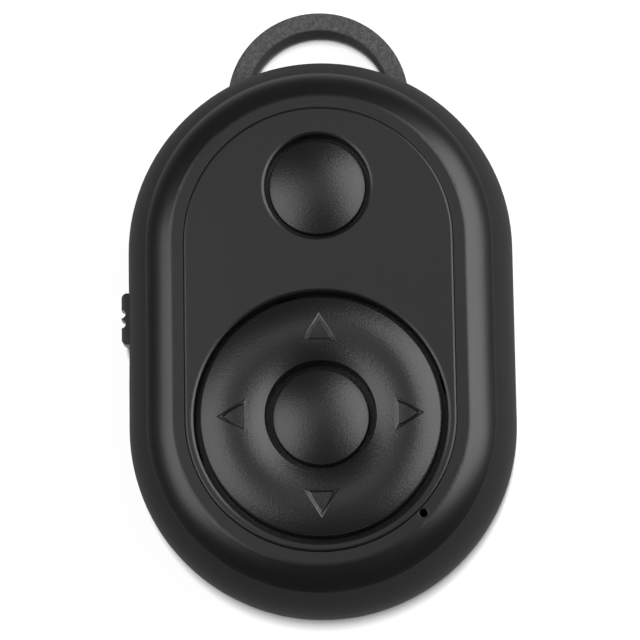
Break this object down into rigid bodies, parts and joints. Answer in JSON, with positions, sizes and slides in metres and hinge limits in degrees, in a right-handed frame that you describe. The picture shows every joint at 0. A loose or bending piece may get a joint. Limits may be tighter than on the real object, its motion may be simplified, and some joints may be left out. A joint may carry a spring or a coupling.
{
  "type": "camera shutter remote",
  "caption": "Pocket wireless remote: rounded two-part housing with a strap loop, a shutter button, a rocking arrow ring round a centre button, a side power slider and a twist-off door.",
  "frame": {"origin": "middle of the flat back, midway between the housing's two rounded ends", "axes": "+X across the housing, +Y along it towards the strap loop, +Z out of the button face"},
  "size_m": [0.0397, 0.0629, 0.0128],
  "materials": {
    "housing_grain": "fine spark-eroded grain",
    "housing_satin": "soft-touch satin",
    "plate_satin": "smooth satin",
    "button_satin": "satin",
    "knob_black": "satin",
    "switch_nylon": "plain",
    "plated_steel": "tin plated",
    "silicone": "translucent grey silicone",
    "spring_steel": "bright",
    "board_green": "green solder mask",
    "chip_black": "moulded epoxy",
    "ceramic": "fired ceramic",
    "led_lens": "clear epoxy over a chip",
    "cell_steel": "nickel-plated can",
    "contact_brass": "plated spring brass"
  },
  "bodies": {
    "housing": {"rear_shell": "housing_grain", "front_shell": "housing_satin", "face_plate": "plate_satin", "switch_body": "plated_steel", "snap_domes": "spring_steel", "circuit_board": "board_green", "board_screws": "plated_steel", "radio_chip": "chip_black", "crystal": "plated_steel", "chip_parts": "ceramic", "status_led": "led_lens", "coin_cell": "cell_steel", "positive_contact": "contact_brass", "negative_contact": "contact_brass", "shutter_pad": "silicone", "centre_pad": "silicone"},
    "shutter": {"shutter_button": "button_satin"},
    "ring_cradle": {"ring_pad": "silicone"},
    "ring": {"four_way_ring": "button_satin"},
    "centre": {"centre_button": "button_satin"},
    "power_slider": {"power_knob": "knob_black", "switch_lever": "switch_nylon"},
    "door": {"battery_door": "housing_grain"}
  },
  "joints": [
    {"name": "shutter_press", "type": "slide", "parent": "housing", "child": "shutter", "axis": [0, 0, -1], "range_m": [0, 0.00035], "stiffness_N_per_m": 300, "springref_m": -0.0002, "deforming": ["shutter_pad"]},
    {"name": "centre_press", "type": "slide", "parent": "housing", "child": "centre", "axis": [0, 0, -1], "range_m": [0, 0.00035], "stiffness_N_per_m": 300, "springref_m": -0.0002, "deforming": ["centre_pad"]},
    {"name": "ring_tip_up_down", "type": "hinge", "parent": "housing", "child": "ring_cradle", "pos_m": [0, -0.009, 0.0085], "axis": [1, 0, 0], "range_deg": [-1.6, 1.6], "stiffness_Nm_per_rad": 0.03, "deforming": ["ring_pad"]},
    {"name": "ring_tip_left_right", "type": "hinge", "parent": "ring_cradle", "child": "ring", "pos_m": [0, -0.009, 0.0085], "axis": [0, 1, 0], "range_deg": [-1.6, 1.6], "stiffness_Nm_per_rad": 0.03, "deforming": ["ring_pad"]},
    {"name": "power_slide", "type": "slide", "parent": "housing", "child": "power_slider", "axis": [0, -1, 0], "range_m": [0, 0.002]},
    {"name": "battery_door_turn", "type": "hinge", "parent": "housing", "child": "door", "pos_m": [0, -0.009, 0], "axis": [0, 0, -1], "range_deg": [0, 45]}
  ]
}
